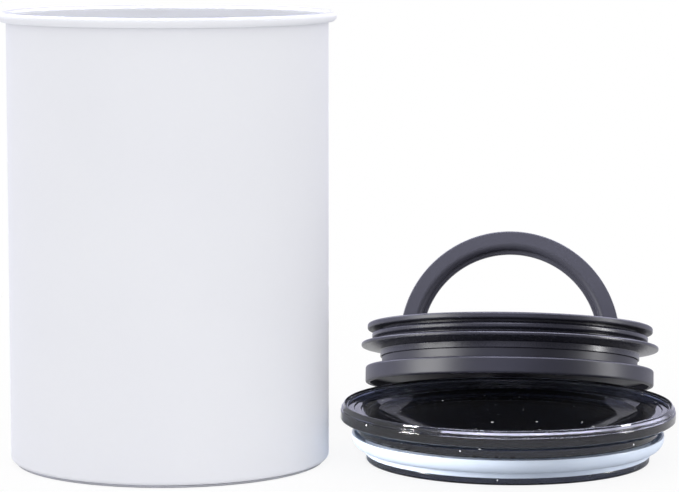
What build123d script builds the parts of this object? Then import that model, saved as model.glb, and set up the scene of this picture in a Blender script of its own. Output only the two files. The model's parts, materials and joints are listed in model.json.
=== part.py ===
from build123d import *
import os
from math import acos, cos, pi, radians, sin, sqrt

# A steel coffee canister with its two lids beside it. The outer lid lies flat on the table. The inner
# lid is a plunger with wiper fins, a vent valve and a folding handle. It leans on the outer lid's rear
# rim. Millimetres. The origin is the centre of the canister's base, with +Z up its axis.

# Shared clearances
fit_gap = 0.05       # between pieces of one assembly that seat in each other
running_gap = 0.05   # radial, round a pin or a sliding stem
free_gap = 0.3       # between pieces that move past each other
overrun = 1.0        # how far a cutting body runs past the face that it cuts

# Canister
canister_height = 170.7
body_radius = 60.6
steel_thickness = 0.6
bead_diameter = 3.7
bead_turn = 290.0
corner_radius = 1.6
lip_width = 5.0
base_thickness = 1.0
base_setback = 0.2
base_edge_radius = 0.3

# Outer lid: a moulded cap whose plug goes into the mouth
lid_spacing = 129.0
lid_wall = 1.8
flange_overhang = 0.2
flange_thickness = 4.9
flange_bevel_width = 3.2
flange_bevel_height = 1.9
plug_depth = 14.0
crest_rise = 3.4
crest_setback = 1.5
crest_slope_width = 0.8
crest_slope_drop = 1.6
ledge_width = 0.7
ledge_drop = 0.9
outer_tread_width = 2.3
middle_tread_width = 2.6
inner_tread_width = 6.8
riser_height = 0.45
cove_width = 8.2
cove_depth = 2.4
neck_clearance = 2.4
neck_height = 3.4
skirt_clearance = 8.0
foot_ring_height = 2.6
foot_ring_width = 2.0
lid_edge_radius = 0.4

# Outer lid's gasket: a sleeve in the skirt's groove with one curved lip
gasket_sleeve_thickness = 2.5
gasket_lip_clearance = 0.5
gasket_lip_thickness = 0.9
gasket_lip_root_height = 2.0
gasket_lip_tip_gap = 0.4
gasket_bulge_share = 0.75

# Inner lid: its pose against the outer lid, then its own sizes from its underside up
lean_angle = 13.9
turn_angle = 5.0
side_offset = -2.2
band_clearance = 1.0
band_height = 6.8
band_wall = 2.0
band_edge_radius = 0.9
neck_setback = 6.6
neck_top_height = 10.8
groove_depth = 1.7
flange_width = 7.8
inner_lid_height = 24.3
inner_flange_thickness = 2.4
inner_flange_edge_radius = 0.8
well_wall = 2.2
floor_thickness = 1.8
floor_height = 11.5
well_fillet_radius = 1.5

# Wiper seal in the groove, with two fins
sleeve_thickness = 2.4
wiper_reach = 7.8
wiper_tip_thickness = 1.0
upper_fin_reach = 3.5
fin_tip_radius = 0.45
wiper_root_share = 0.23
wiper_tip_share = 0.37
wiper_root_top_share = 0.6
upper_fin_share = 0.7
upper_fin_top_share = 0.88

# Bottom cover with its cup for the valve, its screws and their posts
cover_thickness = 1.8
cup_radius = 17.0
cover_gap = 0.2
clamp_rib_setback = 3.1
clamp_rib_width = 2.0
clamp_rib_height = 0.5
screw_count = 4
screw_circle_radius = 30.0
screw_radius = 1.25
screw_head_radius = 2.6
screw_seat_thickness = 0.5
screw_recess = 0.2
screw_length = 7.0
post_wall = 2.1
vent_count = 8
vent_circle_radius = 11.0
vent_radius = 1.6

# Handle and its pivot
handle_clearance = 3.8
handle_face_width = 7.0
handle_ledge_width = 1.6
handle_depth = 7.0
handle_front_depth = 3.8
handle_outer_bevel = 0.5
handle_inner_radius = 1.3
crossbar_clearance = 1.2
crossbar_radius = 3.8
pivot_pin_radius = 1.8
pivot_pin_engagement = 6.0
pivot_pin_cover = 0.5
pivot_boss_radius = 4.6
cam_width = 5.0

# Valve under the floor
valve_lift = 2.5
vent_hole_radius = 6.0
stem_radius = 2.0
stem_tip_radius = 0.6
collar_radius = 5.2
collar_thickness = 1.0
disc_overlap = 3.0
disc_thickness = 1.8
disc_edge_radius = 0.4
clip_radius = 3.6
clip_thickness = 0.6
clip_mouth_width = 2.4
guide_wall = 1.15
guide_flange_thickness = 0.7
guide_top_gap = 0.5
spring_wire_diameter = 0.6
spring_turns = 2.5


def round_corners(sketch, radius, *places):
    """Rounds the sketch's corners that lie nearest to the given places."""
    fillet([sketch.vertices().sort_by_distance(place)[0] for place in places], radius)


def write_step(piece, name):
    """Labels a finished piece and writes it as its own file."""
    piece.part.label = name
    export_step(piece.part, f"parts/{name}.step")


os.makedirs("parts", exist_ok=True)

# Canister shell: a drawn steel tube with a rolled bead at the mouth and a lip turned in at the bottom
inner_radius = body_radius - steel_thickness
rim_radius = inner_radius + bead_diameter
bead_radius = bead_diameter / 2
bead_centre = (inner_radius + bead_radius, canister_height - bead_radius)
shell_bottom = base_thickness
lip_radius = body_radius - corner_radius
lip_inner_radius = lip_radius - lip_width

with BuildPart() as canister_shell:
    with BuildSketch(Plane.XZ) as wall_section:
        with BuildLine():
            outer_roll = CenterArc(bead_centre, bead_radius, 180, -bead_turn)
            inner_roll = CenterArc(bead_centre, bead_radius - steel_thickness, 180, -bead_turn)
            Line(outer_roll @ 1, inner_roll @ 1)
            outer_wall = Line(inner_roll @ 0, (body_radius, shell_bottom + corner_radius))
            outer_corner = CenterArc((lip_radius, shell_bottom + corner_radius), corner_radius, 0, -90)
            lip_floor = Line(outer_corner @ 1, (lip_inner_radius, shell_bottom))
            lip_edge = Line(lip_floor @ 1, (lip_inner_radius, shell_bottom + steel_thickness))
            inner_corner = CenterArc(
                (lip_radius, shell_bottom + corner_radius), corner_radius - steel_thickness, -90, 90)
            Line(lip_edge @ 1, inner_corner @ 0)
            Line(inner_corner @ 1, outer_roll @ 0)
        make_face()
    revolve(axis=Axis.Z)
write_step(canister_shell, "canister_shell")

# Canister base: a flat disc of bare steel, seamed to the lip from below
with BuildPart() as canister_base:
    with BuildSketch():
        Circle(lip_radius - base_setback)
    extrude(amount=base_thickness)
    fillet(canister_base.edges().filter_by(GeomType.CIRCLE), base_edge_radius)
write_step(canister_base, "canister_base")

# Outer lid shell: a stepped top with a cove down to its floor, a flange, a neck and a grooved skirt
flange_radius = rim_radius + flange_overhang
flange_top = plug_depth + flange_thickness
crest_height = flange_top + crest_rise
crest_radius = flange_radius - crest_setback
ledge_height = crest_height - crest_slope_drop
outer_tread_height = ledge_height - ledge_drop
middle_tread_height = outer_tread_height - riser_height
inner_tread_height = middle_tread_height - riser_height
ledge_radius = crest_radius - crest_slope_width
outer_tread_radius = ledge_radius - ledge_width
middle_tread_radius = outer_tread_radius - outer_tread_width
inner_tread_radius = middle_tread_radius - middle_tread_width
cove_top_radius = inner_tread_radius - inner_tread_width
dish_radius = cove_top_radius - cove_width
dish_height = inner_tread_height - cove_depth
cove_radius = (cove_width**2 + cove_depth**2) / (2 * cove_depth)
cove_centre = (dish_radius, dish_height + cove_radius)
cove_angle = acos((cove_radius - cove_depth) / cove_radius) * 180 / pi
ceiling_height = inner_tread_height - lid_wall
ceiling_angle = acos((cove_centre[1] - ceiling_height) / (cove_radius + lid_wall)) * 180 / pi
neck_radius = inner_radius - neck_clearance
neck_bottom = plug_depth - neck_height
skirt_radius = inner_radius - skirt_clearance
skirt_inner_radius = skirt_radius - lid_wall
foot_ring_radius = skirt_radius + foot_ring_width

lid_origin = (lid_spacing, 0, 0)
lid_section = Plane(origin=lid_origin, x_dir=(1, 0, 0), z_dir=(0, -1, 0))
lid_axis = Axis(lid_origin, (0, 0, 1))

with BuildPart() as outer_lid_shell:
    with BuildSketch(lid_section) as lid_outline:
        with BuildLine():
            cove = CenterArc(cove_centre, cove_radius, -90, cove_angle)
            ceiling = CenterArc(cove_centre, cove_radius + lid_wall, -90, ceiling_angle)
            Polyline(
                ceiling @ 0, (0, dish_height - lid_wall), (0, dish_height), cove @ 0)
            Polyline(
                cove @ 1,
                (inner_tread_radius, inner_tread_height),
                (inner_tread_radius, middle_tread_height),
                (middle_tread_radius, middle_tread_height),
                (middle_tread_radius, outer_tread_height),
                (outer_tread_radius, outer_tread_height),
                (outer_tread_radius, ledge_height),
                (ledge_radius, ledge_height),
                (crest_radius, crest_height),
                (flange_radius, flange_top),
                (flange_radius, plug_depth + flange_bevel_height),
                (flange_radius - flange_bevel_width, plug_depth),
                (neck_radius, plug_depth),
                (neck_radius, neck_bottom),
                (skirt_radius, neck_bottom),
                (skirt_radius, foot_ring_height),
                (foot_ring_radius, foot_ring_height),
                (foot_ring_radius, 0),
                (skirt_inner_radius, 0),
                (skirt_inner_radius, neck_bottom + lid_wall),
                (neck_radius - lid_wall, neck_bottom + lid_wall),
                (neck_radius - lid_wall, ceiling_height),
                ceiling @ 1)
        make_face()
        round_corners(
            lid_outline, lid_edge_radius,
            (crest_radius, crest_height), (flange_radius, flange_top),
            (flange_radius, plug_depth + flange_bevel_height),
            (foot_ring_radius, 0), (foot_ring_radius, foot_ring_height))
    revolve(axis=lid_axis)
write_step(outer_lid_shell, "outer_lid_shell")

# Outer lid's gasket: a silicone sleeve in the skirt's groove, whose one lip curves up and outwards
sleeve_outer_radius = skirt_radius + gasket_sleeve_thickness
lip_tip_radius = inner_radius - gasket_lip_clearance
lip_tip_height = neck_bottom - gasket_lip_tip_gap
lip_root_height = foot_ring_height + gasket_lip_root_height
lip_bulge_radius = sleeve_outer_radius + (lip_tip_radius - sleeve_outer_radius) * gasket_bulge_share
lip_bulge_height = lip_tip_height - (lip_tip_height - lip_root_height) * gasket_bulge_share

with BuildPart() as outer_lid_gasket:
    with BuildSketch(lid_section):
        with BuildLine():
            lip_outside = ThreePointArc(
                (sleeve_outer_radius, lip_root_height),
                (lip_bulge_radius, lip_bulge_height),
                (lip_tip_radius, lip_tip_height))
            lip_inside = ThreePointArc(
                (sleeve_outer_radius, lip_root_height + 2 * gasket_lip_thickness),
                (lip_bulge_radius - gasket_lip_thickness, lip_bulge_height + gasket_lip_thickness),
                (lip_tip_radius - gasket_lip_thickness, lip_tip_height))
            Line(lip_outside @ 1, lip_inside @ 1)
            Polyline(
                lip_inside @ 0,
                (sleeve_outer_radius, neck_bottom),
                (skirt_radius + fit_gap, neck_bottom),
                (skirt_radius + fit_gap, foot_ring_height),
                (sleeve_outer_radius, foot_ring_height),
                lip_outside @ 0)
        make_face()
    revolve(axis=lid_axis)
write_step(outer_lid_gasket, "outer_lid_gasket")

# Pose of the inner lid: its rear bottom edge on the table, its set-back cover just over the crest
band_radius = inner_radius - band_clearance
shelf_bottom = band_height - band_wall
cover_top = shelf_bottom - clamp_rib_height
cover_setback = cover_top - cover_thickness
lean_sine = sin(radians(lean_angle))
lean_cosine = cos(radians(lean_angle))
turn_sine = sin(radians(turn_angle))
turn_cosine = cos(radians(turn_angle))
inner_lid_rise = band_radius * lean_sine
lean_distance = crest_radius + (
    (crest_height - inner_lid_rise) * lean_cosine + free_gap - cover_setback) / lean_sine
inner_lid_plane = Plane(
    origin=(
        lid_spacing + lean_distance * turn_sine + side_offset * turn_cosine,
        lean_distance * turn_cosine - side_offset * turn_sine,
        inner_lid_rise),
    x_dir=(turn_cosine, -turn_sine, 0),
    z_dir=(lean_sine * turn_sine, lean_sine * turn_cosine, lean_cosine))
inner_section = Plane(
    origin=inner_lid_plane.origin, x_dir=inner_lid_plane.x_dir, z_dir=-inner_lid_plane.y_dir)
inner_lid_axis = Axis(inner_lid_plane.origin, inner_lid_plane.z_dir)
floor_top = floor_height + floor_thickness
pivot_height = floor_top + crossbar_clearance + crossbar_radius
pivot_plane = inner_lid_plane.offset(pivot_height)
pivot_cross_plane = Plane(
    origin=pivot_plane.origin, x_dir=inner_lid_plane.y_dir, z_dir=inner_lid_plane.x_dir)

# Plunger body: a well with a flange on top, a groove for the seal, a neck, and posts under the floor
neck_outer_radius = band_radius - neck_setback
groove_radius = neck_outer_radius - groove_depth
well_radius = groove_radius - well_wall
inner_flange_radius = groove_radius + flange_width
inner_flange_bottom = inner_lid_height - inner_flange_thickness
handle_radius = well_radius - handle_clearance
boss_face = handle_radius + free_gap
pin_end = groove_radius - pivot_pin_cover
handle_bore_radius = pivot_pin_radius + running_gap
screw_hole_radius = screw_radius + fit_gap
post_radius = screw_hole_radius + post_wall

with BuildPart() as plunger_body:
    with BuildSketch(inner_section) as body_outline:
        with BuildLine():
            Polyline(
                (0, floor_height),
                (0, floor_top),
                (well_radius, floor_top),
                (well_radius, inner_lid_height),
                (inner_flange_radius, inner_lid_height),
                (inner_flange_radius, inner_flange_bottom),
                (groove_radius, inner_flange_bottom),
                (groove_radius, neck_top_height),
                (neck_outer_radius, neck_top_height),
                (neck_outer_radius, band_height),
                (well_radius, band_height),
                (well_radius, floor_height),
                close=True)
        make_face()
        round_corners(
            body_outline, inner_flange_edge_radius,
            (inner_flange_radius, inner_lid_height), (inner_flange_radius, inner_flange_bottom))
        round_corners(body_outline, well_fillet_radius, (well_radius, floor_top))
    revolve(axis=inner_lid_axis)
    for side in (-1, 1):
        with BuildSketch(pivot_cross_plane.offset(side * boss_face)):
            Circle(pivot_boss_radius)
        extrude(amount=side * (well_radius + well_wall / 2 - boss_face))
    with BuildSketch(inner_lid_plane.offset(cover_top)):
        with PolarLocations(screw_circle_radius, screw_count, start_angle=180 / screw_count):
            Circle(post_radius)
    extrude(amount=floor_height - cover_top)
    with BuildSketch(inner_lid_plane.offset(cover_top)):
        with PolarLocations(screw_circle_radius, screw_count, start_angle=180 / screw_count):
            Circle(screw_hole_radius)
    extrude(amount=screw_recess + screw_length - cover_thickness + overrun, mode=Mode.SUBTRACT)
    with BuildSketch(inner_lid_plane.offset(floor_height)):
        Circle(vent_hole_radius)
    extrude(amount=floor_thickness, mode=Mode.SUBTRACT)
    for side in (-1, 1):
        with BuildSketch(pivot_cross_plane.offset(side * boss_face)):
            Circle(pivot_pin_radius + fit_gap)
        extrude(amount=side * (pin_end + fit_gap - boss_face), mode=Mode.SUBTRACT)
write_step(plunger_body, "plunger_body")

# Wiper seal: a black silicone sleeve in the groove, with a long lower fin and a short upper fin
seal_radius = groove_radius + sleeve_thickness
wiper_radius = seal_radius + wiper_reach
upper_fin_radius = seal_radius + upper_fin_reach
groove_height = inner_flange_bottom - neck_top_height
wiper_root_height = neck_top_height + groove_height * wiper_root_share
wiper_root_top = neck_top_height + groove_height * wiper_root_top_share
wiper_tip_height = neck_top_height + groove_height * wiper_tip_share
wiper_tip_top = wiper_tip_height + wiper_tip_thickness
upper_fin_height = neck_top_height + groove_height * upper_fin_share
upper_fin_top = neck_top_height + groove_height * upper_fin_top_share

with BuildPart() as wiper_seal:
    with BuildSketch(inner_section) as seal_outline:
        with BuildLine():
            Polyline(
                (groove_radius + fit_gap, neck_top_height),
                (seal_radius, neck_top_height),
                (seal_radius, wiper_root_height),
                (wiper_radius, wiper_tip_height),
                (wiper_radius, wiper_tip_top),
                (seal_radius, wiper_root_top),
                (upper_fin_radius, upper_fin_height),
                (upper_fin_radius, upper_fin_top),
                (seal_radius, upper_fin_top + fin_tip_radius),
                (seal_radius, inner_flange_bottom),
                (groove_radius + fit_gap, inner_flange_bottom),
                close=True)
        make_face()
        round_corners(
            seal_outline, fin_tip_radius,
            (wiper_radius, wiper_tip_height), (wiper_radius, wiper_tip_top),
            (upper_fin_radius, upper_fin_height), (upper_fin_radius, upper_fin_top))
    revolve(axis=inner_lid_axis)
write_step(wiper_seal, "wiper_seal")

# Guide ring: the wide band under the neck, with a shelf that the neck stands on
with BuildPart() as guide_ring:
    with BuildSketch(inner_section) as ring_outline:
        with BuildLine():
            Polyline(
                (band_radius, 0),
                (band_radius, band_height),
                (well_radius, band_height),
                (well_radius, band_height - band_wall),
                (band_radius - band_wall, band_height - band_wall),
                (band_radius - band_wall, 0),
                close=True)
        make_face()
        round_corners(ring_outline, band_edge_radius, (band_radius, 0), (band_radius, band_height))
    revolve(axis=inner_lid_axis)
write_step(guide_ring, "guide_ring")

# Bottom cover: a plate set back inside the band, with a clamping rib, sunk screws and a vented cup
guide_radius = stem_radius + running_gap + guide_wall
cover_radius = band_radius - band_wall - cover_gap
clamp_rib_radius = cover_radius - clamp_rib_setback
screw_bottom = cover_setback + screw_recess
screw_head_height = cover_thickness - screw_recess - screw_seat_thickness

with BuildPart() as bottom_cover:
    with BuildSketch(inner_lid_plane.offset(cover_setback)):
        Circle(cover_radius)
    extrude(amount=cover_thickness)
    with BuildSketch(inner_lid_plane):
        Circle(cup_radius)
    extrude(amount=cover_top)
    with BuildSketch(inner_lid_plane.offset(cover_thickness)):
        Circle(cup_radius - cover_thickness)
    extrude(amount=cover_setback, mode=Mode.SUBTRACT)
    with BuildSketch(inner_lid_plane.offset(cover_top)):
        Circle(clamp_rib_radius)
        Circle(clamp_rib_radius - clamp_rib_width, mode=Mode.SUBTRACT)
    extrude(amount=clamp_rib_height)
    with BuildSketch(inner_lid_plane.offset(cover_setback)):
        with PolarLocations(screw_circle_radius, screw_count, start_angle=180 / screw_count):
            Circle(screw_hole_radius)
    extrude(amount=cover_thickness, mode=Mode.SUBTRACT)
    with BuildSketch(inner_lid_plane.offset(cover_setback)):
        with PolarLocations(screw_circle_radius, screw_count, start_angle=180 / screw_count):
            Circle(screw_head_radius + fit_gap)
    extrude(amount=screw_recess + screw_head_height, mode=Mode.SUBTRACT)
    with BuildSketch(inner_lid_plane):
        with PolarLocations(vent_circle_radius, vent_count):
            Circle(vent_radius)
        Circle(guide_radius + fit_gap)
    extrude(amount=cover_thickness, mode=Mode.SUBTRACT)
write_step(bottom_cover, "bottom_cover")

# Cover screws: pan heads sunk in the cover, with shanks up into the posts
with BuildPart() as cover_screws:
    with BuildSketch(inner_lid_plane.offset(screw_bottom)):
        with PolarLocations(screw_circle_radius, screw_count, start_angle=180 / screw_count):
            Circle(screw_head_radius)
    extrude(amount=screw_head_height)
    with BuildSketch(inner_lid_plane.offset(screw_bottom + screw_head_height)):
        with PolarLocations(screw_circle_radius, screw_count, start_angle=180 / screw_count):
            Circle(screw_radius)
    extrude(amount=screw_length - screw_head_height)
write_step(cover_screws, "cover_screws")

# Handle: a half-round arch on a crossbar, with a stepped inner edge and a cam in the middle
handle_ledge_radius = handle_radius - handle_face_width - handle_ledge_width
handle_face_radius = handle_radius - handle_face_width
handle_front = -handle_depth / 2
cam_reach = crossbar_radius + valve_lift
cam_slope = valve_lift / (pi / 2)


def cam_point(turn):
    """The point of the cam's lobe that faces the valve once the handle has turned by this angle."""
    reach = cam_reach - cam_slope * turn
    return (
        reach * sin(turn) - cam_slope * cos(turn),
        -reach * cos(turn) - cam_slope * sin(turn))


with BuildPart() as handle:
    with BuildSketch(pivot_plane) as arch_section:
        with BuildLine():
            Polyline(
                (handle_face_radius, handle_front),
                (handle_radius, handle_front),
                (handle_radius, -handle_front),
                (handle_ledge_radius, -handle_front),
                (handle_ledge_radius, handle_front + handle_front_depth),
                (handle_face_radius, handle_front + handle_front_depth),
                close=True)
        make_face()
        round_corners(arch_section, handle_inner_radius, (handle_face_radius, handle_front))
        round_corners(
            arch_section, handle_outer_bevel,
            (handle_radius, handle_front), (handle_radius, -handle_front),
            (handle_ledge_radius, -handle_front))
    revolve(axis=Axis(pivot_plane.origin, -inner_lid_plane.y_dir), revolution_arc=180)
    with BuildSketch(pivot_cross_plane):
        Circle(crossbar_radius)
    extrude(amount=handle_radius, both=True)
    with BuildSketch(pivot_cross_plane):
        with BuildLine():
            lobe = Spline(*[cam_point(radians(turn)) for turn in range(0, 91, 15)])
            Polyline(lobe @ 1, (crossbar_radius, 0), (-crossbar_radius, 0), lobe @ 0)
        make_face()
    extrude(amount=cam_width / 2, both=True)
    for side in (-1, 1):
        with BuildSketch(pivot_cross_plane.offset(side * handle_radius)):
            Circle(handle_bore_radius)
        extrude(amount=-side * (pivot_pin_engagement + free_gap), mode=Mode.SUBTRACT)
write_step(handle, "handle")

# Pivot pins: one steel pin a side, anchored in the well's boss and turning in the handle's end
for side, name in ((-1, "pivot_pin_left"), (1, "pivot_pin_right")):
    with BuildPart() as pivot_pin:
        with BuildSketch(pivot_cross_plane.offset(side * pin_end)):
            Circle(pivot_pin_radius)
        extrude(amount=-side * (pin_end - handle_radius + pivot_pin_engagement))
    write_step(pivot_pin, name)

# Valve stem: its tip follows the cam, its collar carries the disc, its foot slides in the guide
stem_top = pivot_height - cam_reach - free_gap
disc_top = floor_height - free_gap - valve_lift
disc_bottom = disc_top - disc_thickness
collar_bottom = disc_bottom - collar_thickness
disc_radius = vent_hole_radius + disc_overlap
stem_foot = free_gap

with BuildPart() as valve_stem:
    with BuildSketch(inner_lid_plane.offset(stem_foot)):
        Circle(stem_radius)
    extrude(amount=stem_top - stem_foot)
    fillet(valve_stem.edges().filter_by(GeomType.CIRCLE), stem_tip_radius)
    with BuildSketch(inner_lid_plane.offset(collar_bottom)):
        Circle(collar_radius)
    extrude(amount=collar_thickness)
write_step(valve_stem, "valve_stem")

# Valve disc: soft silicone on the stem's collar, which closes the vent hole from below
with BuildPart() as valve_disc:
    with BuildSketch(inner_lid_plane.offset(disc_bottom)):
        Circle(disc_radius)
        Circle(stem_radius + fit_gap, mode=Mode.SUBTRACT)
    extrude(amount=disc_thickness)
    fillet(
        valve_disc.edges().filter_by(GeomType.CIRCLE).sort_by(SortBy.RADIUS)[-2:], disc_edge_radius)
write_step(valve_disc, "valve_disc")

# Stem clip: an open ring that holds the disc down on the collar
with BuildPart() as stem_clip:
    with BuildSketch(inner_lid_plane.offset(disc_top)):
        Circle(clip_radius)
        Circle(stem_radius + fit_gap, mode=Mode.SUBTRACT)
        with BuildLine():
            Polyline(
                (0, -clip_mouth_width / 2), (clip_radius + overrun, -clip_mouth_width / 2),
                (clip_radius + overrun, clip_mouth_width / 2), (0, clip_mouth_width / 2), close=True)
        make_face(mode=Mode.SUBTRACT)
    extrude(amount=clip_thickness)
write_step(stem_clip, "stem_clip")

# Valve guide: a flanged bush in the cover that the stem's foot slides in
guide_top = collar_bottom - guide_top_gap
guide_flange_top = cover_thickness + guide_flange_thickness

with BuildPart() as valve_guide:
    with BuildSketch(inner_lid_plane):
        Circle(guide_radius)
    extrude(amount=guide_top)
    with BuildSketch(inner_lid_plane.offset(cover_thickness)):
        Circle(collar_radius)
    extrude(amount=guide_flange_thickness)
    with BuildSketch(inner_lid_plane):
        Circle(stem_radius + running_gap)
    extrude(amount=guide_top, mode=Mode.SUBTRACT)
write_step(valve_guide, "valve_guide")

# Valve spring: a short coil round the guide, which lifts the disc to its seat
spring_bottom = guide_flange_top + spring_wire_diameter / 2
spring_top = collar_bottom - free_gap - spring_wire_diameter / 2
spring_radius = collar_radius - spring_wire_diameter / 2 - fit_gap

with BuildPart() as valve_spring:
    with BuildLine() as coil:
        Helix(
            pitch=(spring_top - spring_bottom) / spring_turns,
            height=spring_top - spring_bottom,
            radius=spring_radius,
            center=inner_lid_plane.offset(spring_bottom).origin,
            direction=inner_lid_plane.z_dir)
    with BuildSketch(Plane(origin=coil.line @ 0, z_dir=coil.line % 0)):
        Circle(spring_wire_diameter / 2)
    sweep(path=coil.line, is_frenet=True)
write_step(valve_spring, "valve_spring")

print("inner lid origin", tuple(round(value, 4) for value in inner_lid_plane.origin))
print("inner lid axis", tuple(round(value, 6) for value in inner_lid_plane.z_dir))
print("pivot", tuple(round(value, 4) for value in pivot_plane.origin))
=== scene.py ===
# %% [markdown]
# # A steel coffee canister and its two lids
#
# The object is a drawn steel canister with a matt powder coat. Beside it lie a press-on outer lid,
# moulded in smoke-tinted clear plastic with a silicone gasket, and a black plunger lid with wiper
# fins, a folding handle and a vent valve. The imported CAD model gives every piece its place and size.
# This lesson turns the round pieces again with finer edges, and gives each one its real finish.

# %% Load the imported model
import json
import math

import bmesh
import bpy
from mathutils import Matrix, Vector

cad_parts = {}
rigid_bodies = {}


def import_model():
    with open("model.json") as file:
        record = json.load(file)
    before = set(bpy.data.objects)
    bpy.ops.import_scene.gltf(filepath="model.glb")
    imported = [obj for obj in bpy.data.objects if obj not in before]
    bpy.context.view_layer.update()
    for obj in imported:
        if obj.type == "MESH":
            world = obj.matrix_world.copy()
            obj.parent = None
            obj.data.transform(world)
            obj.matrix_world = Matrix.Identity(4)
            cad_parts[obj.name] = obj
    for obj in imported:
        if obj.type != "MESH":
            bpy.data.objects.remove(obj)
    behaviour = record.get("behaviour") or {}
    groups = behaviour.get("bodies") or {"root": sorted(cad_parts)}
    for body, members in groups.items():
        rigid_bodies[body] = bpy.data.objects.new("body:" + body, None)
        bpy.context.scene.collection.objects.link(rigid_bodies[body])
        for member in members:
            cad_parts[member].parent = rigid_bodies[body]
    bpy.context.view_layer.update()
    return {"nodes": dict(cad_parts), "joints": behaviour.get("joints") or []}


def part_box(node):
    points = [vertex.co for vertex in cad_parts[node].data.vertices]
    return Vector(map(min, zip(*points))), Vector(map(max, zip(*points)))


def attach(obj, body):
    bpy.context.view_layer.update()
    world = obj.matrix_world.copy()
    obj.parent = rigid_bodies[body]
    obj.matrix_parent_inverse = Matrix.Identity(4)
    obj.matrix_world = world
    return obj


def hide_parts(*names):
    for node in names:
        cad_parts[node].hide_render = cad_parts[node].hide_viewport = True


MM = 0.001

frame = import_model()

# %% [markdown]
# The camera comes first, because every look is judged through it. The photograph is nearly level
# and taken from about a metre away with a long lens, so upright walls stay upright. A camera that
# stands a little above the canister's mouth and looks down by a few degrees gives the same narrow
# ellipses.

# %% Camera
CAMERA_PLACE = (64.7, -1141.0, 214.2)
CAMERA_DROP = 6.62
LENS = 160.4
SENSOR = 36.0

camera = bpy.data.objects.new("camera", bpy.data.cameras.new("camera"))
camera.data.lens = LENS
camera.data.sensor_width = SENSOR
camera.location = Vector(CAMERA_PLACE) * MM
camera.rotation_euler = (math.radians(90 - CAMERA_DROP), 0, 0)
bpy.context.scene.collection.objects.link(camera)
bpy.context.scene.camera = camera
bpy.context.scene.view_settings.view_transform = "Standard"
print("camera distance", -CAMERA_PLACE[1], "mm")

# %% [markdown]
# A material is a small tree of nodes. A few short helpers keep the trees readable. One turns a hex
# colour, as a designer writes it, into the linear numbers that the shader works in. One adds a node
# with its settings and its links. Two more start a material and link its output, and the last gives
# a pattern its scale from a real size, so that no scale has to be guessed.


# %% Helpers for node trees
def linear_colour(hex_code):
    """An sRGB hex colour such as #A0B1C2 as linear red, green, blue and alpha."""
    channels = [int(hex_code[place:place + 2], 16) / 255 for place in (1, 3, 5)]
    return tuple(
        channel / 12.92 if channel <= 0.04045 else ((channel + 0.055) / 1.055) ** 2.4
        for channel in channels) + (1.0,)


def add_node(tree, kind, inputs=(), **settings):
    """Adds a node. Settings are its properties, and inputs pairs sockets with values or links."""
    node = tree.nodes.new(kind)
    for name, value in settings.items():
        setattr(node, name, value)
    for socket, value in dict(inputs).items():
        if isinstance(value, bpy.types.NodeSocket):
            tree.links.new(value, node.inputs[socket])
        else:
            node.inputs[socket].default_value = value
    return node


def start_material(name):
    """A new material with an empty tree, and the place on the piece that its patterns read."""
    material = bpy.data.materials.new(name)
    material.use_nodes = True
    material.node_tree.nodes.clear()
    place = add_node(material.node_tree, "ShaderNodeTexCoord").outputs["Object"]
    return material, material.node_tree, place


def finish_material(material, surface, volume=None):
    """Links the finished surface, and a volume where there is one, to the material's output."""
    inputs = {"Surface": surface}
    if volume is not None:
        inputs["Volume"] = volume
    add_node(material.node_tree, "ShaderNodeOutputMaterial", inputs)
    print("material", material.name, len(material.node_tree.nodes), "nodes")
    return material


def pattern_scale(size):
    """The scale that gives a noise or cell pattern features of this size in millimetres."""
    return 1 / (size * MM)


# %% [markdown]
# The studio is a pale sweep with soft boxes. The floor is a pale diffuse sheet, so it keeps the
# soft shadow under the object. For the rays that reach the camera, straight or by way of a gloss,
# plain white is mixed in, and more of it with the distance from the object, so that the floor runs
# into the backdrop without a line. Only the camera and mirror images see that white, so the paper's
# own light on the object stays as it was.

# %% Studio floor
STUDIO_CENTRE = Vector((65.0, 60.0, 60.0)) * MM
FLOOR_WIDTH = 9000.0
NEAR_WHITE_SHARE = 0.88
NEAR_REACH = 90.0
FAR_REACH = 450.0
PAPER_CLOUD = 60.0
MIRRORED_WHITE = "#E4E4FC"


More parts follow.
